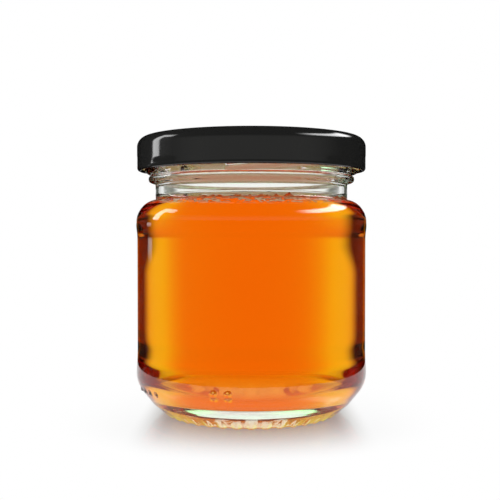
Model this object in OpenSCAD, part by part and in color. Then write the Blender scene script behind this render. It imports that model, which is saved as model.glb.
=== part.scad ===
// Squat round jar of honey with a twist-off lid. Millimetres, +Z up.
// The origin is the centre of the foot, on the surface the jar stands on.

/* [Jar] */
// Greatest outer diameter of the jar, at the bands above and below the panel
jar_d = 69.7; // [64:0.1:80]
// Height from the table to the glass rim under the lid
jar_h = 81.9; // [76:0.1:100]
// Depth of the label panel below the two bands
panel_depth = 0.55; // [0:0.05:0.8]
// Height of the widest line of the heel band
heel_band_z = 12.5; // [11:0.1:16]
// Height of the widest line of the shoulder band below the glass rim
shoulder_drop = 24.3; // [23:0.1:30]
// Thickness of the side wall
wall = 2.3; // [1.8:0.1:3]
// Height of the honey's lowest ring above the table
floor_t = 7.35; // [5:0.05:8]
// Number of knurls under the foot
knurls = 40; // [12:1:60]

/* [Neck] */
// Outer diameter of the plain neck
neck_d = 58.2; // [52:0.1:59]
// Outer diameter of the bead below the thread
bead_d = 62.4; // [60:0.1:63]
// Number of thread starts, and of lugs in the lid
starts = 4; // [2:1:6]

/* [Honey] */
// Depth of the honey's level below the glass rim
fill_drop = 18.3; // [18:0.1:40]
// Height that the honey climbs at the glass
meniscus = 0.6; // [0.2:0.1:1]

/* [Lid] */
// Outer diameter of the lid
lid_d = 69.1; // [68.4:0.1:72]
// Height of the lid from its rolled edge to its top
lid_h = 10.2; // [9.6:0.1:11]
// Radius of the lid's upper corner
lid_corner = 3.1; // [1.5:0.1:3.5]
// Thickness of the lacquered sheet
sheet = 0.5; // [0.3:0.05:0.7]

/* [Hidden] */
$fn = 96;
arc_steps = 12;
eps = 0.01;

// Outside of the body
band_r = jar_d / 2;
panel_r = band_r - panel_depth;
heel_r = 8.6;
heel_cone_a = 38.6;
heel_step = 5.2;
shoulder_z = jar_h - shoulder_drop;
shoulder_r = 6.8;
shoulder_step = 3.6;
ogee_steps = 4;

// Foot: a flat bearing ring that the knurls stand proud of
knurl_r = 0.75;
knurl_z = 0.55;
knurl_in = 22.7;
knurl_len = 2.8;
foot_z = 0.25;
foot_high = 3.6;
foot_cone_a = 52;
foot_in = 22;
push_up = 2.2;
heel_low_z = heel_band_z - heel_r * sin(heel_cone_a);
heel_low_r = band_r - heel_r + heel_r * cos(heel_cone_a);
foot_top_r = heel_low_r - (heel_low_z - foot_high) * tan(heel_cone_a);
foot_out = foot_top_r - (foot_high - foot_z) * tan(foot_cone_a);

// Plain pips on the heel: a row at the left and two pairs at the front
pip_r = 0.8;
pip_sunk = 0.45;
side_pips = 4;
side_pip_a = -52.5;
side_pip_z = 8.5;
pip_step_a = 6.2;
front_pip_a = [-17, -10.5];
front_pip_z = [9.6, 11.2];

// Neck and finish
neck_r = neck_d / 2;
bead_r = bead_d / 2;
neck_root_a = acos((neck_r - (band_r - shoulder_r)) / shoulder_r);
bead_z = jar_h - 11.5;
bead_round = 1.1;
bead_a = 70;
bead_run_in = 0.5;
bead_run_out = 0.4;
finish_r = bead_r - 0.7;
lip_round = 0.9;

// Inside of the glass
bore_r = neck_r - wall;
cavity_r = band_r - wall;
inner_shoulder_r = 6.5;
inner_root_a = acos((bore_r - (cavity_r - inner_shoulder_r)) / inner_shoulder_r);
inner_heel_r = 6.3;
floor_r = cavity_r - inner_heel_r;
floor_dome = 1.1;

// Thread
thread_out = bead_r + 1.1;
thread_half = 0.9;
thread_root = 1;
thread_bevel = 0.6;
thread_span = 76;
thread_tilt = 4.9;
thread_mid_a = 24;
thread_z = jar_h - 7.85;

// Honey surface
fill_z = jar_h - fill_drop;
honey_edge_z = fill_z + meniscus;
meniscus_w = 1.6;
meniscus_steps = 5;

// Lid
lid_r = lid_d / 2;
lining = 0.7;
lid_top = jar_h + lining + sheet;
lid_low = lid_top - lid_h;
curl_r = 0.75;
lug_span = 16;
lug_in = 31.9;
lug_t = 0.7;
lug_rise = 0.3;
lug_first_a = 45;
step_clear = 0.6;
step_r = bore_r - step_clear;
top_step = 0.7;
button_r = 9;
button_rise = 0.3;

// Points along an arc about centre c from angle a0 to a1
function arc(c, r, a0, a1, n = arc_steps) =
    [for (i = [0:n]) let (a = a0 + (a1 - a0) * i / n) c + r * [cos(a), sin(a)]];

function reversed(list) = [for (i = [len(list) - 1:-1:0]) list[i]];

// Radius of the sphere of a shallow dome over a circle of radius r
function dome_r(r, rise) = (pow(r, 2) + pow(rise, 2)) / (2 * rise);

// Degrees that each half of an ogee turns between two bands, and the radius of both
function ogee_a(depth, height) = 2 * atan(depth / height);
function ogee_r(depth, height) = height / 2 / sin(ogee_a(depth, height));

// Radius of the cavity at a height z on the shoulder or the neck
function cavity_at(z) = max(bore_r,
    cavity_r - inner_shoulder_r + sqrt(max(0, pow(inner_shoulder_r, 2) - pow(z - shoulder_z, 2))));

// Panel between the heel band and the shoulder band, stepped in by an ogee at each end
function panel() = let (
        low_a = ogee_a(panel_depth, heel_step), low_r = ogee_r(panel_depth, heel_step),
        top_a = ogee_a(panel_depth, shoulder_step), top_r = ogee_r(panel_depth, shoulder_step))
    concat(
        arc([band_r - low_r, heel_band_z], low_r, 0, low_a, ogee_steps),
        arc([panel_r + low_r, heel_band_z + heel_step], low_r, 180 + low_a, 180, ogee_steps),
        arc([panel_r + top_r, shoulder_z - shoulder_step], top_r, 180, 180 - top_a, ogee_steps),
        arc([band_r - top_r, shoulder_z], top_r, -top_a, 0, ogee_steps));

// Outside of the glass, from the rim of the foot up to the mouth
function glass_outside() = concat(
    [[foot_out, foot_z], [foot_top_r, foot_high]],
    arc([band_r - heel_r, heel_band_z], heel_r, -heel_cone_a, 0),
    panel(),
    arc([band_r - shoulder_r, shoulder_z], shoulder_r, 0, neck_root_a),
    [[neck_r, bead_z - bead_round - bead_run_in]],
    arc([bead_r - bead_round, bead_z], bead_round, -bead_a, bead_a, 8),
    [[finish_r, bead_z + bead_round + bead_run_out]],
    arc([finish_r - lip_round, jar_h - lip_round], lip_round, 0, 90, 6)
);

// Inside of the glass, from the mouth down to the middle of the floor
function cavity_wall() = let (
        floor_dome_r = dome_r(floor_r, floor_dome),
        floor_a = asin(floor_r / floor_dome_r))
    concat(
        arc([cavity_r - inner_shoulder_r, shoulder_z], inner_shoulder_r, inner_root_a, 0),
        arc([floor_r, floor_t + inner_heel_r], inner_heel_r, 0, -90),
        arc([0, floor_t + floor_dome - floor_dome_r], floor_dome_r, 90 - floor_a, 90));

module foot_hollow() {
    // shallow dome under the floor
    hollow_r = dome_r(foot_in, push_up);
    translate([0, 0, foot_z + push_up - hollow_r])
        sphere(r = hollow_r);
}

// Half-round ribs, worn flat where they stand on the table
module knurl_ring() {
    difference() {
        for (i = [0:knurls - 1])
            rotate([0, 0, i * 360 / knurls])
                translate([knurl_in, 0, knurl_z])
                    rotate([0, 90, 0])
                        cylinder(r = knurl_r, h = knurl_len, $fn = 24);
        translate([0, 0, -knurl_r])
            cylinder(r = foot_out, h = knurl_r);
    }
}

// Small raised pip on the lower curve of the heel, a degrees round from the front
module heel_pip(a, z) {
    down = asin((z - heel_band_z) / heel_r);
    out = band_r - heel_r + (heel_r - pip_sunk) * cos(down);
    rotate([0, 0, a - 90])
        translate([out, 0, heel_band_z + (heel_r - pip_sunk) * sin(down)])
            sphere(r = pip_r, $fn = 24);
}

module heel_pips() {
    for (i = [0:side_pips - 1])
        heel_pip(side_pip_a - i * pip_step_a, side_pip_z);
    for (a = front_pip_a, z = front_pip_z)
        heel_pip(a, z);
}

module thread_starts() {
    for (i = [0:starts - 1])
        rotate([0, 0, i * 360 / starts + thread_mid_a - 90])
            translate([0, 0, thread_z])
                rotate([thread_tilt, 0, 0])
                    rotate([0, 0, -thread_span / 2])
                        rotate_extrude(angle = thread_span)
                            polygon([[finish_r - thread_root, -thread_half],
                                     [thread_out - thread_bevel, -thread_half],
                                     [thread_out, -thread_half / 3], [thread_out, thread_half / 3],
                                     [thread_out - thread_bevel, thread_half],
                                     [finish_r - thread_root, thread_half]]);
}

module glass_jar() {
    color([0.86, 0.93, 0.88, 0.35]) {
        difference() {
            rotate_extrude()
                polygon(concat([[0, foot_z]], glass_outside(),
                    arc([bore_r + lip_round, jar_h - lip_round], lip_round, 90, 180, 6),
                    cavity_wall()));
            foot_hollow();
        }
        knurl_ring();
        heel_pips();
        thread_starts();
    }
}

module honey() {
    color([0.95, 0.45, 0.02])
        rotate_extrude()
            polygon(concat(
                [for (p = reversed(cavity_wall())) if (p[1] < honey_edge_z - eps) p],
                [for (i = [0:meniscus_steps]) let (t = i / meniscus_steps)
                    [cavity_at(honey_edge_z) - meniscus_w * t, fill_z + meniscus * pow(1 - t, 2)]],
                [[0, fill_z]]));
}

// Outline of the pressed sheet on one side, t inwards from its outer face
function lid_face(t) = concat(
    [[lid_r - t, lid_low + curl_r]],
    arc([lid_r - lid_corner, lid_top - lid_corner], lid_corner - t, 0, 90),
    [[step_r, lid_top - t], [step_r - top_step, lid_top - top_step - t],
     [button_r + button_rise, lid_top - top_step - t],
     [button_r, lid_top - top_step + button_rise - t], [0, lid_top - top_step + button_rise - t]]);

module lid_lug() {
    rotate([0, 0, -lug_span / 2])
        rotate_extrude(angle = lug_span)
            translate([lug_in, lid_low + lug_rise])
                square([lid_r - sheet / 2 - lug_in, lug_t]);
}

module lid() {
    color([0.08, 0.08, 0.08]) {
        rotate_extrude() {
            polygon(concat(lid_face(0), reversed(lid_face(sheet))));
            translate([lid_r - curl_r, lid_low + curl_r])
                circle(r = curl_r);
            translate([bore_r, jar_h])
                square([finish_r - bore_r, lining + eps]);
        }
        for (i = [0:starts - 1])
            rotate([0, 0, i * 360 / starts + lug_first_a])
                lid_lug();
    }
}

glass_jar();
honey();
lid();
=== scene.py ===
"""A twist-off jar of honey, modelled and finished around its CAD frame.

Every piece is in metres in the frame's own axes: +Z up, -Y the front, the origin under the foot.
"""
import math

import bmesh
import bpy
from mathutils import Matrix, Vector, noise


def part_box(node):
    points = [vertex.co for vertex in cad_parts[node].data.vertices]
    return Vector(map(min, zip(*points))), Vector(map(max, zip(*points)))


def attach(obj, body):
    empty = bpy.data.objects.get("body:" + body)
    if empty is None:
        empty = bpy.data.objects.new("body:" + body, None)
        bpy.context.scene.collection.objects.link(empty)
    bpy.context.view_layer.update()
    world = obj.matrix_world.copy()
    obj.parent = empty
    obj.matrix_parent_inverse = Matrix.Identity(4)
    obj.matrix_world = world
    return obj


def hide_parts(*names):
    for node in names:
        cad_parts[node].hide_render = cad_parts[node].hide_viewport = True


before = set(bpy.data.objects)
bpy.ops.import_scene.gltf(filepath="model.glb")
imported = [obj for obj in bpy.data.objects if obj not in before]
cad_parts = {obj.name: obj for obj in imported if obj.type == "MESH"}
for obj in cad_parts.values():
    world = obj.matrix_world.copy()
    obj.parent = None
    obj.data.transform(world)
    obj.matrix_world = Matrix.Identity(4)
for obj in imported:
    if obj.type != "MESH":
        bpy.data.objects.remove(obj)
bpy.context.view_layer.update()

JAR_LOW, JAR_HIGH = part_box("glass_jar")
HONEY_LOW, HONEY_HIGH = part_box("honey")
LID_LOW, LID_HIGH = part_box("lid")
MM = 0.001
SLACK = 0.01 * MM        # for comparing heights and radii

bl_info = {
    "name": "Honey Jar",
    "version": (1, 0, 0),
    "blender": (4, 5, 0),
    "location": "View3D > Sidebar > Honey Jar",
    "description": "Builds a glass jar of honey, its lid and a small studio around a CAD frame",
    "category": "Add Mesh",
}


# ---------------------------------------------------------------- outlines and turned shapes

class Outline:
    """A chain of edges in the XZ plane, X as the radius, drawn on from its last point."""

    def __init__(self, radius, height):
        self.bm = bmesh.new()
        self.tip = self.bm.verts.new((radius, 0, height))
        self.chain = [self.tip]

    def _reach(self, vert):
        self.tip = vert
        self.chain.append(vert)

    def line(self, radius, height, cuts=1):
        """Draws straight to a point in equal steps."""
        step = (Vector((radius, 0, height)) - self.tip.co) / cuts
        for _ in range(cuts):
            made = bmesh.ops.extrude_vert_indiv(self.bm, verts=[self.tip])
            bmesh.ops.translate(self.bm, verts=made["verts"], vec=step)
            self._reach(made["verts"][0])
        return self

    def arc(self, radius, height, turn, cuts):
        """Turns about a centre by an angle in degrees, anticlockwise with +Z up and +X right."""
        for _ in range(cuts):
            made = bmesh.ops.spin(self.bm, geom=[self.tip], cent=(radius, 0, height), axis=(0, -1, 0),
                                  angle=math.radians(turn) / cuts, steps=1)
            self._reach(made["geom_last"][0])
        return self

    def turned(self, steps):
        """Spins the chain once round +Z into a closed shell, and returns its bmesh."""
        bmesh.ops.spin(self.bm, geom=self.bm.verts[:] + self.bm.edges[:], cent=(0, 0, 0), axis=(0, 0, 1),
                       angle=math.tau, steps=steps, use_merge=True)
        bmesh.ops.remove_doubles(self.bm, verts=self.bm.verts, dist=1e-3 * MM)
        bmesh.ops.recalc_face_normals(self.bm, faces=self.bm.faces)
        return self.bm


def bearing(point):
    """Degrees round the axis from the front, towards +X."""
    return math.degrees(math.atan2(point.x, -point.y))


def nearest_turn(angle, centre, pitch):
    """The angle measured from the nearest of the places that repeat every pitch degrees."""
    return (angle - centre + pitch / 2) % pitch - pitch / 2


def smooth_step(value, low, high):
    t = min(1.0, max(0.0, (value - low) / (high - low)))
    return t * t * (3 - 2 * t)


def push_out(vert, distance):
    """Moves a vertex away from the axis."""
    flat = Vector((vert.co.x, vert.co.y, 0))
    if flat.length > 0:
        vert.co += flat.normalized() * distance


def finished_object(bm, name, materials, nodes):
    """Makes a smooth-shaded object of a bmesh, on the root body, in place of the CAD nodes."""
    for face in bm.faces:
        face.smooth = True
    mesh = bpy.data.meshes.new(name)
    bm.to_mesh(mesh)
    bm.free()
    for material in materials:
        mesh.materials.append(material)
    piece = bpy.data.objects.new(name, mesh)
    bpy.context.scene.collection.objects.link(piece)
    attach(piece, "root")
    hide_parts(*nodes)


# ---------------------------------------------------------------- shader nodes

class Number:
    """A number socket of a shader; sums written with it add Math nodes."""

    def __init__(self, shader, socket):
        self.shader = shader
        self.socket = socket

    def _sum(self, operation, first, second):
        return self.shader.node("ShaderNodeMath", {"operation": operation}, {0: first, 1: second})

    def __add__(self, other):
        return self._sum("ADD", self, other)

    __radd__ = __add__

    def __sub__(self, other):
        return self._sum("SUBTRACT", self, other)

    def __rsub__(self, other):
        return self._sum("SUBTRACT", other, self)

    def __mul__(self, other):
        return self._sum("MULTIPLY", self, other)

    __rmul__ = __mul__

    def ramp(self, low, high, start=0.0, end=1.0):
        """Eases from a start to an end value as the number goes from low to high."""
        return self.shader.node("ShaderNodeMapRange", {"interpolation_type": "SMOOTHSTEP"}, {
            "Value": self, "From Min": low, "From Max": high, "To Min": start, "To Max": end})

    def size(self):
        """The number without its sign."""
        return self.shader.node("ShaderNodeMath", {"operation": "ABSOLUTE"}, {0: self})


class Shader:
    """A material's node tree, built by name."""

    def __init__(self, name):
        self.material = bpy.data.materials.new(name)
        self.material.use_nodes = True
        self.tree = self.material.node_tree
        self.tree.nodes.clear()
        self.end = self.tree.nodes.new("ShaderNodeOutputMaterial")

    def node(self, kind, settings=None, inputs=None, output=0):
        """Adds a node: its settings, then the values or links of its sockets."""
        made = self.tree.nodes.new(kind)
        for name, value in (settings or {}).items():
            setattr(made, name, value)
        for key, value in (inputs or {}).items():
            if isinstance(value, Number):
                self.tree.links.new(value.socket, made.inputs[key])
            else:
                made.inputs[key].default_value = value
        return Number(self, made.outputs[output])

    def place(self):
        """The point on the object, in metres."""
        return self.node("ShaderNodeTexCoord", output="Object")

    def along(self, axis):
        """One coordinate of the point on the object, in metres."""
        return self.node("ShaderNodeSeparateXYZ", None, {"Vector": self.place()}, axis)

    def grain(self, per_metre, detail):
        """Noise over the object."""
        return self.node("ShaderNodeTexNoise", None, {"Vector": self.place(), "Scale": per_metre,
                                                      "Detail": detail})

    def bump(self, height, distance, strength):
        return self.node("ShaderNodeBump", None, {"Height": height, "Distance": distance,
                                                  "Strength": strength})

    def mix(self, factor, first, second):
        """Blends two colours."""
        return self.node("ShaderNodeMix", {"data_type": "RGBA"}, {0: factor, 6: first, 7: second}, 2)

    def finish(self, surface, volume=None):
        self.tree.links.new(surface.socket, self.end.inputs["Surface"])
        if volume:
            self.tree.links.new(volume.socket, self.end.inputs["Volume"])
        return self.material


# ---------------------------------------------------------------- sizes and colours

class HoneyJarSizes(bpy.types.PropertyGroup):
    """Sizes of the jar, the honey and the lid."""

    wall: bpy.props.FloatProperty(
        name="Wall", description="Thickness of the side wall", default=2.3 * MM, subtype="DISTANCE")
    panel_depth: bpy.props.FloatProperty(
        name="Panel depth", description="Depth of the label panel below the bands",
        default=0.35 * MM, subtype="DISTANCE")
    knurls: bpy.props.IntProperty(
        name="Knurls", description="Number of knurls under the foot", default=40)
    neck_radius: bpy.props.FloatProperty(
        name="Neck radius", description="Outer radius of the plain neck", default=29.1 * MM,
        subtype="DISTANCE")
    bead_radius: bpy.props.FloatProperty(
        name="Bead radius", description="Outer radius of the bead below the thread",
        default=31.2 * MM, subtype="DISTANCE")
    steps: bpy.props.IntProperty(
        name="Steps", description="Edges round the jar", default=400)


class HoneyJarColours(bpy.types.PropertyGroup):
    """Colours of the glass, the honey and the lid."""

    glass: bpy.props.FloatVectorProperty(
        name="Glass", description="Tint of the clear glass", subtype="COLOR", size=3,
        default=(0.975, 0.99, 0.97), min=0, max=1)
    honey: bpy.props.FloatVectorProperty(
        name="Honey", description="Tint of the honey's surface", subtype="COLOR", size=3,
        default=(0.99, 0.97, 0.80), min=0, max=1)
    honey_depth: bpy.props.FloatVectorProperty(
        name="Honey depth", description="Colour that light keeps as it crosses the honey",
        subtype="COLOR", size=3, default=(0.9965, 0.7147, 0.017), min=0, max=1)
    honey_density: bpy.props.FloatProperty(
        name="Honey density", description="How fast the honey takes colour, per metre", default=102)
    lacquer: bpy.props.FloatVectorProperty(
        name="Lacquer", description="Outside of the lid", subtype="COLOR", size=3,
        default=(0.013, 0.013, 0.0125), min=0, max=1)
    gold: bpy.props.FloatVectorProperty(
        name="Gold lacquer", description="Inside of the lid", subtype="COLOR", size=3,
        default=(0.92, 0.93, 0.48), min=0, max=1)


# ---------------------------------------------------------------- glass jar

HEEL_BAND = 12.5 * MM       # height of the widest line of the heel
HEEL_ARC = 8.6 * MM
HEEL_CONE = 38.6            # slope of the heel below its arc, from upright
HEEL_STEP = 7 * MM          # height over which the heel band blends into the panel
SHOULDER_DROP = 24.3 * MM   # widest line of the shoulder below the glass rim
SHOULDER_ARC = 6.8 * MM
SHOULDER_STEP = 5.4 * MM
FOOT_CONE = 52              # slope of the foot, from upright
FOOT_HIGH = 3.6 * MM        # where the foot meets the heel
FOOT_IN = 22 * MM
FOOT_RISE = 0.25 * MM
PUSH_UP = 2.2 * MM
FLOOR_DOME = 1.1 * MM       # rise of the middle of the inner floor
BEAD_DROP = 11.5 * MM
BEAD_ARC = 1.1 * MM
BEAD_TURN = 140             # degrees of the bead's round face
BEAD_FOOT = (0.66, 0.94)    # where that face begins, in from its crest and down, in its radii
BEAD_RUN_IN = 0.5 * MM
BEAD_RUN_OUT = 0.4 * MM
FINISH_IN = 0.7 * MM
LIP_ARC = 0.9 * MM
INNER_SHOULDER_ARC = 6.5 * MM
INNER_HEEL_ARC = 6.3 * MM
THREAD_DROP = 7.85 * MM
THREAD_OUT = 1.8 * MM
THREAD_HALF = 1.15 * MM
THREAD_SPAN = 76
THREAD_MID = 24
THREAD_PITCH = 90
THREAD_TILT = math.radians(4.9)
THREAD_LEAD = 4             # degrees over which a start rises at its low end
THREAD_FADE = 16            # degrees over which it dies away at its high end
THREAD_CREST = 0.7          # below 1 for a broader crest


def cavity_radius(sizes):
    return JAR_HIGH.x - sizes.wall


def bore_radius(sizes):
    return sizes.neck_radius - sizes.wall


def root_angle(radius, widest, arc):
    """Degrees that a shoulder arc turns from its widest line to a smaller radius."""
    return math.degrees(math.acos((radius - (widest - arc)) / arc))


def ogee_turn(depth, height):
    """Degrees that each half of an ogee turns, and the radius of both."""
    turn = 2 * math.atan(depth / height)
    return math.degrees(turn), height / 2 / math.sin(turn)


def dome_arc(radius, rise):
    """Radius of a shallow dome's sphere, and the degrees from its top to its rim."""
    sphere = (radius ** 2 + rise ** 2) / (2 * rise)
    return sphere, math.degrees(math.asin(radius / sphere))


def draw_outside(draw, sizes):
    """From the middle under the floor round the foot, the heel and the panel to the neck's bead."""
    band = JAR_HIGH.x
    shoulder = JAR_HIGH.z - SHOULDER_DROP
    panel = band - sizes.panel_depth
    sphere, rim_turn = dome_arc(FOOT_IN, PUSH_UP)
    draw.arc(0, FOOT_RISE + PUSH_UP - sphere, -rim_turn, 10)
    heel_low = HEEL_BAND - HEEL_ARC * math.sin(math.radians(HEEL_CONE))
    heel_in = band - HEEL_ARC + HEEL_ARC * math.cos(math.radians(HEEL_CONE))
    foot_top = heel_in - (heel_low - FOOT_HIGH) * math.tan(math.radians(HEEL_CONE))
    foot_out = foot_top - (FOOT_HIGH - FOOT_RISE) * math.tan(math.radians(FOOT_CONE))
    draw.line(foot_out, FOOT_RISE, 10)
    draw.line(foot_top, FOOT_HIGH, 8)
    draw.line(heel_in, heel_low, 8)
    draw.arc(band - HEEL_ARC, HEEL_BAND, HEEL_CONE, 18)
    turn, radius = ogee_turn(sizes.panel_depth, HEEL_STEP)
    draw.arc(band - radius, HEEL_BAND, turn, 6)
    draw.arc(panel + radius, HEEL_BAND + HEEL_STEP, -turn, 6)
    turn, radius = ogee_turn(sizes.panel_depth, SHOULDER_STEP)
    draw.line(panel, shoulder - SHOULDER_STEP, 16)
    draw.arc(panel + radius, shoulder - SHOULDER_STEP, -turn, 6)
    draw.arc(band - radius, shoulder, turn, 6)
    root = root_angle(sizes.neck_radius, band, SHOULDER_ARC)
    draw.arc(band - SHOULDER_ARC, shoulder, root, 20)


def draw_finish(draw, sizes):
    """The neck, the bead, the finish under the lid and the lip."""
    rim = JAR_HIGH.z
    bead = rim - BEAD_DROP
    finish = sizes.bead_radius - FINISH_IN
    bore = bore_radius(sizes)
    draw.line(sizes.neck_radius, bead - BEAD_ARC - BEAD_RUN_IN, 5)
    draw.line(sizes.bead_radius - BEAD_ARC * BEAD_FOOT[0], bead - BEAD_ARC * BEAD_FOOT[1], 2)
    draw.arc(sizes.bead_radius - BEAD_ARC, bead, BEAD_TURN, 10)
    draw.line(finish, bead + BEAD_ARC + BEAD_RUN_OUT, 2)
    draw.line(finish, rim - LIP_ARC, 30)
    draw.arc(finish - LIP_ARC, rim - LIP_ARC, 90, 5)
    draw.line(bore + LIP_ARC, rim, 1)
    draw.arc(bore + LIP_ARC, rim - LIP_ARC, 90, 5)


def draw_cavity(draw, sizes, reach):
    """The inside of the glass from the bore to the middle of the floor, sunk into it by a reach."""
    shoulder = JAR_HIGH.z - SHOULDER_DROP
    cavity = cavity_radius(sizes) + reach
    arc = INNER_SHOULDER_ARC + reach
    turn = root_angle(bore_radius(sizes) + reach, cavity, arc)
    draw.line(bore_radius(sizes) + reach, shoulder + arc * math.sin(math.radians(turn)), 8)
    draw.arc(cavity - arc, shoulder, -turn, 14)
    heel = INNER_HEEL_ARC + reach
    floor = HONEY_LOW.z - reach
    flat = cavity - heel
    draw.line(cavity, floor + heel, 12)
    draw.arc(flat, floor + heel, -90, 14)
    sphere, rim_turn = dome_arc(flat, FLOOR_DOME)
    draw.arc(0, floor + FLOOR_DOME - sphere, rim_turn, 12)


def glass_outline(sizes):
    """Half section of the glass, from under the floor round the outside and back to the floor."""
    draw = Outline(0, FOOT_RISE + PUSH_UP)
    draw_outside(draw, sizes)
    draw_finish(draw, sizes)
    draw_cavity(draw, sizes, 0)
    return draw


def raise_threads(bm, sizes):
    """Swells the finish into tilted thread starts, blunt at the low end."""
    finish = sizes.bead_radius - FINISH_IN
    for vert in bm.verts:
        if vert.co.z < JAR_HIGH.z - BEAD_DROP + 0.5 * MM:
            continue
        flat = math.hypot(vert.co.x, vert.co.y)
        if flat < finish - 5 * SLACK:
            continue
        round_way = nearest_turn(bearing(vert.co), THREAD_MID, THREAD_PITCH)
        if abs(round_way) > THREAD_SPAN / 2:
            continue
        middle = JAR_HIGH.z - THREAD_DROP + flat * math.sin(math.radians(round_way)) * math.sin(THREAD_TILT)
        across = (vert.co.z - middle) / THREAD_HALF
        ends = smooth_step(round_way, -THREAD_SPAN / 2, -THREAD_SPAN / 2 + THREAD_LEAD)
        ends *= 1 - smooth_step(round_way, THREAD_SPAN / 2 - THREAD_FADE, THREAD_SPAN / 2)
        if abs(across) < 1:
            push_out(vert, THREAD_OUT * ends * math.cos(across * math.pi / 2) ** THREAD_CREST)


KNURL_BLEND = 0.8 * MM
KNURL_EDGES = (0.3, 0.9)    # where a knurl begins and where its flat tip does, from groove to crest


def press_knurls(bm, sizes):
    """Draws the bearing ring down into ribs that run out up the foot's slope."""
    for vert in bm.verts:
        if vert.co.z > FOOT_HIGH:
            continue
        flat = math.hypot(vert.co.x, vert.co.y)
        rib = 0.5 + 0.5 * math.cos(math.radians(bearing(vert.co)) * sizes.knurls)
        along = smooth_step(flat, FOOT_IN, FOOT_IN + KNURL_BLEND)
        along *= 1 - smooth_step(vert.co.z, FOOT_RISE, FOOT_HIGH)
        vert.co.z -= FOOT_RISE * along * smooth_step(rib, *KNURL_EDGES)


PIP_WIDE = 1.05 * MM
PIP_PROUD = 0.42 * MM
PIP_STEP = 6.2              # degrees from one pip of the row to the next
SIDE_PIPS = [(-52.5 - PIP_STEP * i, 8.5 * MM) for i in range(4)]
FRONT_PIPS = [(a, z * MM) for a in (-17, -10.5) for z in (9.6, 11.2)]


def raise_pips(bm):
    """Raises the small plain pips on the heel."""
    for angle, height in SIDE_PIPS + FRONT_PIPS:
        sunk = (height - HEEL_BAND) / HEEL_ARC
        radius = JAR_HIGH.x - HEEL_ARC + HEEL_ARC * math.sqrt(1 - sunk ** 2)
        turn = math.radians(angle)
        centre = Vector((radius * math.sin(turn), -radius * math.cos(turn), height))
        for vert in bm.verts:
            if abs(vert.co.z - height) > PIP_WIDE:
                continue
            away = (vert.co - centre).length
            if away < PIP_WIDE:
                vert.co += vert.normal * PIP_PROUD * (0.5 + 0.5 * math.cos(away / PIP_WIDE * math.pi))


GLASS_IOR = 1.52


def glass_material(name, colours, gloss):
    """Clear glass, faintly uneven; gloss is how much of its surface's mirror image it keeps."""
    shader = Shader(name)
    wavy = shader.grain(90, 1.0)
    normal = shader.bump(wavy, 0.05 * MM, 0.35)
    surface = shader.node("ShaderNodeBsdfPrincipled", None, {
        "Base Color": (*colours.glass, 1), "Roughness": 0.0, "IOR": GLASS_IOR,
        "Specular Tint": (gloss, gloss, gloss, 1), "Transmission Weight": 1.0, "Normal": normal})
    return shader.finish(surface)


def wetted(face, sizes):
    """Whether a face of the glass touches the honey."""
    middle = face.calc_center_median()
    flat = math.hypot(middle.x, middle.y)
    above_floor = middle.z > HONEY_LOW.z - SLACK
    return above_floor and middle.z < HONEY_HIGH.z and flat < cavity_radius(sizes) + SLACK and (
        face.normal.z > 0.5 or face.normal.x * middle.x + face.normal.y * middle.y < 0)


class HONEYJAR_OT_glass(bpy.types.Operator):
    """Turns the clear glass jar and raises its threads, knurls and pips"""

    bl_idname = "honeyjar.glass"
    bl_label = "Glass jar"

    def execute(self, context):
        sizes = context.scene.honey_jar_sizes
        bm = glass_outline(sizes).turned(sizes.steps)
        bm.normal_update()
        raise_threads(bm, sizes)
        raise_pips(bm)
        press_knurls(bm, sizes)
        for face in bm.faces:
            face.material_index = int(wetted(face, sizes))
        colours = context.scene.honey_jar_colours
        coats = [glass_material("flint_glass", colours, 1.0), glass_material("wetted_glass", colours, 0.0)]
        finished_object(bm, "jar_glass", coats, ["glass_jar"])
        return {"FINISHED"}


# ---------------------------------------------------------------- honey

INTO_WALL = 0.06 * MM       # how far the honey reaches into the glass
HONEY_IOR = 1.486
MENISCUS_WIDE = 3 * MM
MENISCUS_RISE = 1.7 * MM
MENISCUS_STEPS = 8
CRINKLE_WIDE = 6 * MM       # width of the crinkled ring beside the glass
SWELL = (0.22, 0.2)         # noise on the surface: bumps to a millimetre, and their height in mm
CRINKLE = (0.5, 1.3)
FROTH_LUMPS = (1.3, 1.1)
FROTH_FIRST = 38            # degrees up the inner shoulder where the froth begins and ends
FROTH_LAST = 80
FROTH_SUNK = 0.2 * MM       # how far the froth lies under the glass
FROTH_THICK = 0.1 * MM
FROTH_STRETCH = (420, 420, 1300)


def honey_outline(sizes):
    """Half section of the honey, from the middle of its surface out to the glass and round it."""
    bore = bore_radius(sizes) + INTO_WALL
    level = HONEY_HIGH.z - MENISCUS_RISE
    draw = Outline(0, level)
    draw.line(bore - MENISCUS_WIDE, level, 40)
    for i in range(1, MENISCUS_STEPS + 1):
        t = i / MENISCUS_STEPS
        draw.line(bore - MENISCUS_WIDE * (1 - t), level + MENISCUS_RISE * t ** 2)
    draw_cavity(draw, sizes, INTO_WALL)
    return draw


def ruffle_surface(bm, sizes):
    """Gives the honey's surface its slow swell, and a frothy crinkle that climbs the glass."""
    edge = bore_radius(sizes) + INTO_WALL
    for vert in bm.verts:
        flat = Vector((vert.co.x, vert.co.y, 0))
        below = vert.co.z < HONEY_HIGH.z - MENISCUS_RISE - SLACK
        if below or flat.length > edge + SLACK:
            continue
        near_wall = smooth_step(flat.length, edge - CRINKLE_WIDE, edge - 1 * MM)
        flat /= MM
        swell = noise.noise(flat * SWELL[0]) * SWELL[1]
        crinkle = noise.noise(flat * CRINKLE[0] + Vector((9, 3, 5))) * CRINKLE[1]
        froth = noise.noise(flat * FROTH_LUMPS[0] + Vector((2, 8, 1))) * FROTH_LUMPS[1]
        vert.co.z += (swell + max(crinkle + froth, -0.1) * near_wall) * MM


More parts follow.
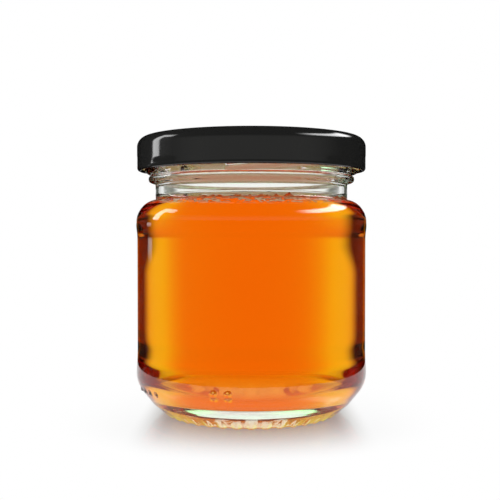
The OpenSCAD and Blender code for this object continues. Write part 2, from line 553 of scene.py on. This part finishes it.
def honey_material(colours):
    """Clear honey that takes its colour from the depth of it that light crosses."""
    shader = Shader("honey_amber")
    swirl = shader.grain(60, 2.0)
    floor_and_painted_reflection = shader.mix(swirl, (colours.honey[0], colours.honey[1] * 0.97, colours.honey[2], 1),
                      (colours.honey[0], colours.honey[1] * 1.03, colours.honey[2], 1))
    surface = shader.node("ShaderNodeBsdfPrincipled", None, {
        "Base Color": floor_and_painted_reflection, "Roughness": 0.0, "IOR": HONEY_IOR, "Transmission Weight": 1.0,
        "Specular Tint": (0.0, 0.0, 0.0, 1)})
    volume = shader.node("ShaderNodeVolumeAbsorption", None, {
        "Color": (*colours.honey_depth, 1), "Density": colours.honey_density})
    return shader.finish(surface, volume)


def froth_outline(sizes):
    """Half section of the thin ring of froth that clings to the shoulder at the honey's edge."""
    middle = cavity_radius(sizes) - INNER_SHOULDER_ARC
    height = JAR_HIGH.z - SHOULDER_DROP
    first = math.radians(FROTH_FIRST)
    last = math.radians(FROTH_LAST)
    outer = INNER_SHOULDER_ARC - FROTH_SUNK
    inner = outer - FROTH_THICK
    draw = Outline(middle + outer * math.cos(first), height + outer * math.sin(first))
    draw.arc(middle, height, FROTH_LAST - FROTH_FIRST, 14)
    draw.line(middle + inner * math.cos(last), height + inner * math.sin(last))
    draw.arc(middle, height, FROTH_FIRST - FROTH_LAST, 14)
    draw.line(middle + outer * math.cos(first), height + outer * math.sin(first))
    return draw


def froth_material():
    """Pale crinkled strings of tiny bubbles with clear gaps between them."""
    shader = Shader("froth")
    stretched = shader.node("ShaderNodeVectorMath", {"operation": "MULTIPLY"},
                            {0: shader.place(), 1: FROTH_STRETCH})
    strings = shader.node("ShaderNodeTexNoise", None, {"Vector": stretched, "Scale": 1.0, "Detail": 3.0,
                                                       "Distortion": 1.2})
    fade = shader.along("Z").ramp(HONEY_HIGH.z - 2.6 * MM, HONEY_HIGH.z - 1.4 * MM)
    floor_and_painted_reflection = shader.mix(strings.ramp(0.51, 0.58), (0.5, 0.06, 0.01, 1), (1.0, 0.9, 0.76, 1))
    surface = shader.node("ShaderNodeBsdfPrincipled", None, {
        "Base Color": floor_and_painted_reflection, "Roughness": 0.35, "Alpha": strings.ramp(0.48, 0.53) * fade})
    return shader.finish(surface)


class HONEYJAR_OT_honey(bpy.types.Operator):
    """Fills the jar with honey up to its level, with froth round its edge"""

    bl_idname = "honeyjar.honey"
    bl_label = "Honey"

    def execute(self, context):
        sizes = context.scene.honey_jar_sizes
        bm = honey_outline(sizes).turned(sizes.steps)
        ruffle_surface(bm, sizes)
        finished_object(bm, "honey_fill", [honey_material(context.scene.honey_jar_colours)],
                        ["honey"])
        finished_object(froth_outline(sizes).turned(sizes.steps), "honey_froth", [froth_material()],
                        ["honey"])
        return {"FINISHED"}


# ---------------------------------------------------------------- lid

LID_CORNER = 3.1 * MM
LID_SHEET = 0.5 * MM
LID_CURL = 0.75 * MM
LID_STEP = 0.7 * MM
LID_BUTTON = 9 * MM
LID_BUTTON_RISE = 0.3 * MM
LID_STEP_IN = 0.6 * MM      # from the bore to the step in the lid's top
LID_STEP_RUN = 0.2 * MM
LID_CURL_TURN = 235
LID_CURL_END = 2.4          # height where the skirt leaves the roll, in radii of the roll
LUG_REACH = 1.9 * MM
LUG_DENT = 0.15 * MM
LUG_DEPTH = (0.6 * MM, 1.4 * MM)    # depths under the skirt over which the roll starts to move
LUG_FADE = (1.2 * MM, 2 * MM)       # heights over which a lug and its dent die away
DENT_FADE = (0.8 * MM, 3 * MM)
LUG_BLEND = 3               # degrees
LUG_SPAN = 16
LUG_FIRST = 45
LUG_PITCH = 90
LID_STEPS = 240
LACQUER_IOR = 1.47


def lid_outline(sizes):
    """Half section of the pressed sheet, from the middle of its top round the roll to its underside."""
    out = LID_HIGH.x
    top = LID_HIGH.z
    low = LID_LOW.z
    step = bore_radius(sizes) - LID_STEP_IN
    draw = Outline(0, top - LID_STEP + LID_BUTTON_RISE)
    draw.line(LID_BUTTON, top - LID_STEP + LID_BUTTON_RISE, 4)
    draw.line(LID_BUTTON + LID_BUTTON_RISE * 2, top - LID_STEP, 2)
    draw.line(step - LID_STEP, top - LID_STEP, 6)
    draw.line(step + LID_STEP_RUN, top, 3)
    draw.line(out - LID_CORNER, top, 3)
    draw.arc(out - LID_CORNER, top - LID_CORNER, -90, 14)
    draw.line(out, low + LID_CURL, 14)
    draw.arc(out - LID_CURL, low + LID_CURL, -LID_CURL_TURN, 16)
    draw.line(out - LID_SHEET, low + LID_CURL * LID_CURL_END, 1)
    draw.line(out - LID_SHEET, top - LID_CORNER, 10)
    draw.arc(out - LID_CORNER, top - LID_CORNER, 90, 10)
    draw.line(step + LID_STEP_RUN, top - LID_SHEET, 3)
    draw.line(step - LID_STEP, top - LID_STEP - LID_SHEET, 3)
    draw.line(0, top - LID_STEP - LID_SHEET, 8)
    return draw


def press_lugs(bm):
    """Draws the rolled edge inwards at the lugs and dents the skirt above them."""
    for vert in bm.verts:
        up = vert.co.z - LID_LOW.z
        if up > DENT_FADE[1]:
            continue
        away = abs(nearest_turn(bearing(vert.co), LUG_FIRST, LUG_PITCH))
        window = 1 - smooth_step(away, LUG_SPAN / 2 - LUG_BLEND, LUG_SPAN / 2 + LUG_BLEND)
        flat = math.hypot(vert.co.x, vert.co.y)
        inner = smooth_step(LID_HIGH.x - flat, *LUG_DEPTH)
        dent = LUG_DENT * (1 - smooth_step(up, *DENT_FADE))
        push_out(vert, -window * (dent + inner * LUG_REACH * (1 - smooth_step(up, *LUG_FADE))))


def lacquer_material(colours):
    """Glossy black lacquer with a slight orange peel and fine dust."""
    shader = Shader("lid_black")
    orange_peel = shader.grain(900, 2.0)
    dust = shader.grain(5200, 1.0)
    normal = shader.bump(orange_peel, 0.004 * MM, 0.5)
    surface = shader.node("ShaderNodeBsdfPrincipled", None, {
        "Base Color": (*colours.lacquer, 1), "Roughness": 0.07 + 0.05 * dust, "IOR": LACQUER_IOR,
        "Normal": normal})
    return shader.finish(surface)


def gold_material(colours):
    """Lacquered tinplate inside the lid, gold at the edge and paler above."""
    shader = Shader("lid_inside")
    cloudy = shader.grain(260, 3.0)
    paler = shader.along("Z").ramp(JAR_HIGH.z - 7 * MM, JAR_HIGH.z - 5.8 * MM)
    floor_and_painted_reflection = shader.mix(paler, (*colours.gold, 1), (0.93, 0.95, 0.80, 1))
    surface = shader.node("ShaderNodeBsdfPrincipled", None, {
        "Base Color": floor_and_painted_reflection, "Metallic": 0.0, "Roughness": 0.35 + 0.12 * cloudy})
    return shader.finish(surface)


class HONEYJAR_OT_lid(bpy.types.Operator):
    """Presses the lid, with its rolled edge and lugs"""

    bl_idname = "honeyjar.lid"
    bl_label = "Lid"

    def execute(self, context):
        sizes = context.scene.honey_jar_sizes
        colours = context.scene.honey_jar_colours
        bm = lid_outline(sizes).turned(LID_STEPS)
        for face in bm.faces:
            middle = face.calc_center_median()
            flat = math.hypot(middle.x, middle.y)
            inside = flat < LID_HIGH.x - LID_SHEET * 0.8 and middle.z < LID_HIGH.z - LID_SHEET * 0.8
            facing_in = face.normal.z < -0.3 or face.normal.dot(Vector((middle.x, middle.y, 0))) < 0
            above_roll = middle.z > LID_LOW.z + LID_CURL * 1.2
            face.material_index = int(inside and facing_in and above_roll)
        press_lugs(bm)
        finished_object(bm, "lid_sheet", [lacquer_material(colours), gold_material(colours)],
                        ["lid"])
        return {"FINISHED"}


# ---------------------------------------------------------------- studio

CAMERA_DISTANCE = 260.5 * MM
CAMERA_HEIGHT = 54.9 * MM
CAMERA_PITCH = 1.27
CAMERA_LENS = 61.4
CAMERA_SHIFT = -0.0028
FLOOR_RADIUS = 0.13
BACK_RADIUS = 66 * MM
BACK_HIGH = 62 * MM         # the top of the screen behind the honey, and the foot of the neck's
NECK_SHADE_RADIUS = 45 * MM
NECK_SHADE_HIGH = 95 * MM
HEEL_GLOW_RADIUS = 36.2 * MM
HEEL_GLOW_HIGH = 7.4 * MM
WHITE = (1, 1, 1, 1)
BLACK = (0, 0, 0, 1)
WARM = (1.08, 2.1, 1.1, 1)
SHOWN_TO = ("camera", "diffuse", "glossy", "transmission", "volume_scatter", "shadow")


def seen_by(thing, *kinds):
    """Leaves a stage piece or a light visible to some kinds of ray only."""
    for kind in SHOWN_TO:
        setattr(thing, "visible_" + kind, kind in kinds)


def glow(shader, colour):
    """A surface that only shines."""
    return shader.finish(shader.node("ShaderNodeBsdfPrincipled", None, {
        "Base Color": BLACK, "Specular IOR Level": 0.0, "Emission Color": colour,
        "Emission Strength": 1.0}))


def screen(name, radius, low, high, first, last, material, kinds):
    """An upright screen bent round the jar's axis between two bearings, seen by some kinds of ray."""
    draw = Outline(radius, low)
    draw.line(radius, high)
    bmesh.ops.rotate(draw.bm, verts=draw.bm.verts, matrix=Matrix.Rotation(math.radians(first - 90), 3, "Z"))
    bmesh.ops.spin(draw.bm, geom=draw.bm.verts[:] + draw.bm.edges[:], cent=(0, 0, 0), axis=(0, 0, 1),
                   angle=math.radians(last - first), steps=48)
    mesh = bpy.data.meshes.new(name)
    draw.bm.to_mesh(mesh)
    draw.bm.free()
    mesh.materials.append(material)
    piece = bpy.data.objects.new(name, mesh)
    bpy.context.scene.collection.objects.link(piece)
    seen_by(piece, *kinds)


def back_glow():
    """White straight behind the jar, then warm, then black, and white again at its ends."""
    shader = Shader("back_glow")
    side = (shader.along("X") * (1 / BACK_RADIUS) - 0.02).size()
    high = shader.along("Z")
    warmth = side.ramp(0.02, 0.145) * side.ramp(0.19, 0.46, 1.0, 0.0) * high.ramp(53 * MM, 60 * MM, 1.0, 0.0)
    narrowed = side + high.ramp(3 * MM, 16 * MM, 0.07, 0.0) + high.ramp(38 * MM, 50 * MM, 0.0, 0.12)
    dark = narrowed.ramp(0.27, 0.45) * side.ramp(0.58, 0.68, 1.0, 0.0)
    lit = shader.mix(warmth, WHITE, WARM)
    return glow(shader, shader.mix(dark, lit, BLACK))


def heel_glow():
    """White close behind the heel, clear along its top."""
    shader = Shader("heel_glow")
    cover = shader.along("Z").ramp(6.6 * MM, HEEL_GLOW_HIGH, 1.0, 0.0)
    return shader.finish(shader.node("ShaderNodeBsdfPrincipled", None, {
        "Base Color": BLACK, "Specular IOR Level": 0.0, "Alpha": cover,
        "Emission Color": (0.97, 1.12, 1.08, 1), "Emission Strength": 1.0}))


def neck_shade():
    """Dark beside the neck and clear behind it."""
    shader = Shader("neck_shade")
    cover = (shader.along("X") * (1 / NECK_SHADE_RADIUS)).size().ramp(0.64, 0.74)
    return shader.finish(shader.node("ShaderNodeBsdfPrincipled", None, {
        "Base Color": BLACK, "Specular IOR Level": 0.0, "Alpha": cover,
        "Emission Color": (0.09, 0.1, 0.075, 1), "Emission Strength": 1.0}))


def front_glow():
    """Grey in front of the lid, fading upwards and to the sides."""
    shader = Shader("front_glow")
    fade = shader.along("Z").ramp(0.12, 0.26, 1.0, 0.0) * shader.along("Y").ramp(-0.28, 0.05, 1.0, 0.0)
    return glow(shader, shader.mix(fade, BLACK, (0.3, 0.3, 0.29, 1)))


def right_glow():
    """A wide white panel to the right, soft at its ends."""
    shader = Shader("right_glow")
    along = shader.along("Y")
    fade = along.ramp(-0.28, -0.12) * along.ramp(0.2, 0.3, 1.0, 0.0)
    fade = fade * shader.along("Z").ramp(0.27, 0.31) * shader.along("Z").ramp(0.40, 0.46, 1.0, 0.0)
    return glow(shader, shader.mix(fade, BLACK, (11, 11, 11, 1)))


def strip_glow():
    """A narrow pale strip that fades downwards."""
    shader = Shader("strip_glow")
    fade = shader.along("Z").ramp(0.03, 0.045)
    return glow(shader, shader.mix(fade, BLACK, (1.8, 1.8, 1.8, 1)))


def sheen_glow():
    """White low behind the jar, for the grazing light along its upper edges."""
    shader = Shader("sheen_glow")
    return glow(shader, shader.mix(shader.along("Z").ramp(0.06, 0.12), WHITE, (0.9, 0.9, 0.9, 1)))


def floor_material():
    """White, with a painted grey reflection of the jar in front of the foot, and a faint real gloss there.
    """
    shader = Shader("floor_white_painted_reflection")
    away = shader.node("ShaderNodeVectorMath", {"operation": "LENGTH"}, {0: shader.place()}, "Value")
    # painted reflection: the floor's white glow turns grey in a patch in front of the foot, standing in for
    # the jar's mirror image
    painted_reflection_width = shader.along("X").size().ramp(0.024, 0.034, 1.0, 0.0)
    painted_reflection_mask = away.ramp(0.014, 0.060, 1.0, 0.0) * painted_reflection_width
    floor_and_painted_reflection = shader.mix(painted_reflection_mask, WHITE, (0.28, 0.25, 0.21, 1))
    paint = shader.node("ShaderNodeBsdfPrincipled", None, {
        "Base Color": BLACK, "Specular IOR Level": 0.0, "Emission Color": floor_and_painted_reflection,
        "Emission Strength": 1.0})
    gloss = shader.node("ShaderNodeBsdfGlossy", None, {"Color": WHITE, "Roughness": 0.12})
    gleam = away.ramp(0.020, 0.062, 0.2, 0.0)
    return shader.finish(shader.node("ShaderNodeMixShader", None, {0: gleam, 1: paint, 2: gloss}))


def softbox(name, place, aim, width, height, power):
    """A rectangular lamp that shows in reflections and not to the camera."""
    lamp = bpy.data.lights.new(name, "AREA")
    lamp.shape = "RECTANGLE"
    lamp.size = width
    lamp.size_y = height
    lamp.energy = power
    thing = bpy.data.objects.new(name, lamp)
    thing.location = place
    thing.rotation_euler = (Vector(aim) - Vector(place)).to_track_quat("-Z", "Y").to_euler()
    bpy.context.scene.collection.objects.link(thing)
    seen_by(thing, "diffuse", "glossy")


class HONEYJAR_OT_studio(bpy.types.Operator):
    """Sets the floor, the light and the camera"""

    bl_idname = "honeyjar.studio"
    bl_label = "Studio"

    def execute(self, context):
        scene = context.scene
        scene.view_settings.view_transform = "Standard"
        scene.view_settings.look = "None"
        cycles = scene.cycles
        cycles.max_bounces = 24
        cycles.transmission_bounces = 24
        cycles.glossy_bounces = 8
        cycles.transparent_max_bounces = 8
        cycles.blur_glossy = 0.0
        cycles.sample_clamp_indirect = 10.0

        world = bpy.data.worlds.new("white_surround")
        scene.world = world
        world.use_nodes = True
        world.node_tree.nodes["Background"].inputs["Color"].default_value = (1, 1, 1, 1)
        world.node_tree.nodes["Background"].inputs["Strength"].default_value = 1.0
        world.cycles_visibility.glossy = False

        bm = bmesh.new()
        bmesh.ops.create_circle(bm, cap_ends=True, segments=96, radius=FLOOR_RADIUS)
        mesh = bpy.data.meshes.new("floor")
        bm.to_mesh(mesh)
        bm.free()
        mesh.materials.append(floor_material())
        floor = bpy.data.objects.new("floor", mesh)
        scene.collection.objects.link(floor)

        screen("back_screen", BACK_RADIUS, 0, BACK_HIGH, 137, 223, back_glow(), ["transmission"])
        screen("heel_screen", HEEL_GLOW_RADIUS, 0, HEEL_GLOW_HIGH, 130, 230, heel_glow(), ["transmission"])
        screen("neck_screen", NECK_SHADE_RADIUS, BACK_HIGH, NECK_SHADE_HIGH, 114, 246, neck_shade(),
               ["transmission"])
        screen("front_band", 0.4, 0.085, 0.26, -98, 98, front_glow(), ["glossy"])
        screen("sheen_screen", 0.5, 0.06, 0.12, 160, 200, sheen_glow(), ["glossy"])
        screen("strip_screen", 0.4, 0.03, 0.058, -119, -111, strip_glow(), ["glossy"])
        softbox("left_softbox", (-0.475, 0.067, 0.26), (0, 0, 0.26), 0.19, 0.32, 1.1)
        screen("right_screen", 0.4, 0.27, 0.46, 44, 140, right_glow(), ["glossy"])

        eye = bpy.data.cameras.new("camera")
        eye.lens = CAMERA_LENS
        eye.sensor_width = 36
        eye.clip_start = 0.01
        eye.shift_x = CAMERA_SHIFT
        holder = bpy.data.objects.new("camera", eye)
        holder.location = (0, -CAMERA_DISTANCE, CAMERA_HEIGHT)
        holder.rotation_euler = (math.radians(90 - CAMERA_PITCH), 0, 0)
        scene.collection.objects.link(holder)
        scene.camera = holder
        return {"FINISHED"}


class HONEYJAR_PT_panel(bpy.types.Panel):
    """Lists the steps that build the honey jar"""

    bl_label = "Honey Jar"
    bl_idname = "HONEYJAR_PT_panel"
    bl_space_type = "VIEW_3D"
    bl_region_type = "UI"
    bl_category = "Honey Jar"

    def draw(self, context):
        for operator in OPERATORS:
            self.layout.operator(operator.bl_idname)


OPERATORS = [HONEYJAR_OT_glass, HONEYJAR_OT_honey, HONEYJAR_OT_lid, HONEYJAR_OT_studio]
CLASSES = [HoneyJarSizes, HoneyJarColours, *OPERATORS, HONEYJAR_PT_panel]


def register():
    for cls in CLASSES:
        bpy.utils.register_class(cls)
    bpy.types.Scene.honey_jar_sizes = bpy.props.PointerProperty(type=HoneyJarSizes)
    bpy.types.Scene.honey_jar_colours = bpy.props.PointerProperty(type=HoneyJarColours)


def unregister():
    del bpy.types.Scene.honey_jar_sizes
    del bpy.types.Scene.honey_jar_colours
    for cls in reversed(CLASSES):
        bpy.utils.unregister_class(cls)


def main():
    register()
    bpy.ops.honeyjar.glass()
    bpy.ops.honeyjar.honey()
    bpy.ops.honeyjar.lid()
    bpy.ops.honeyjar.studio()


if __name__ == "__main__":
    main()
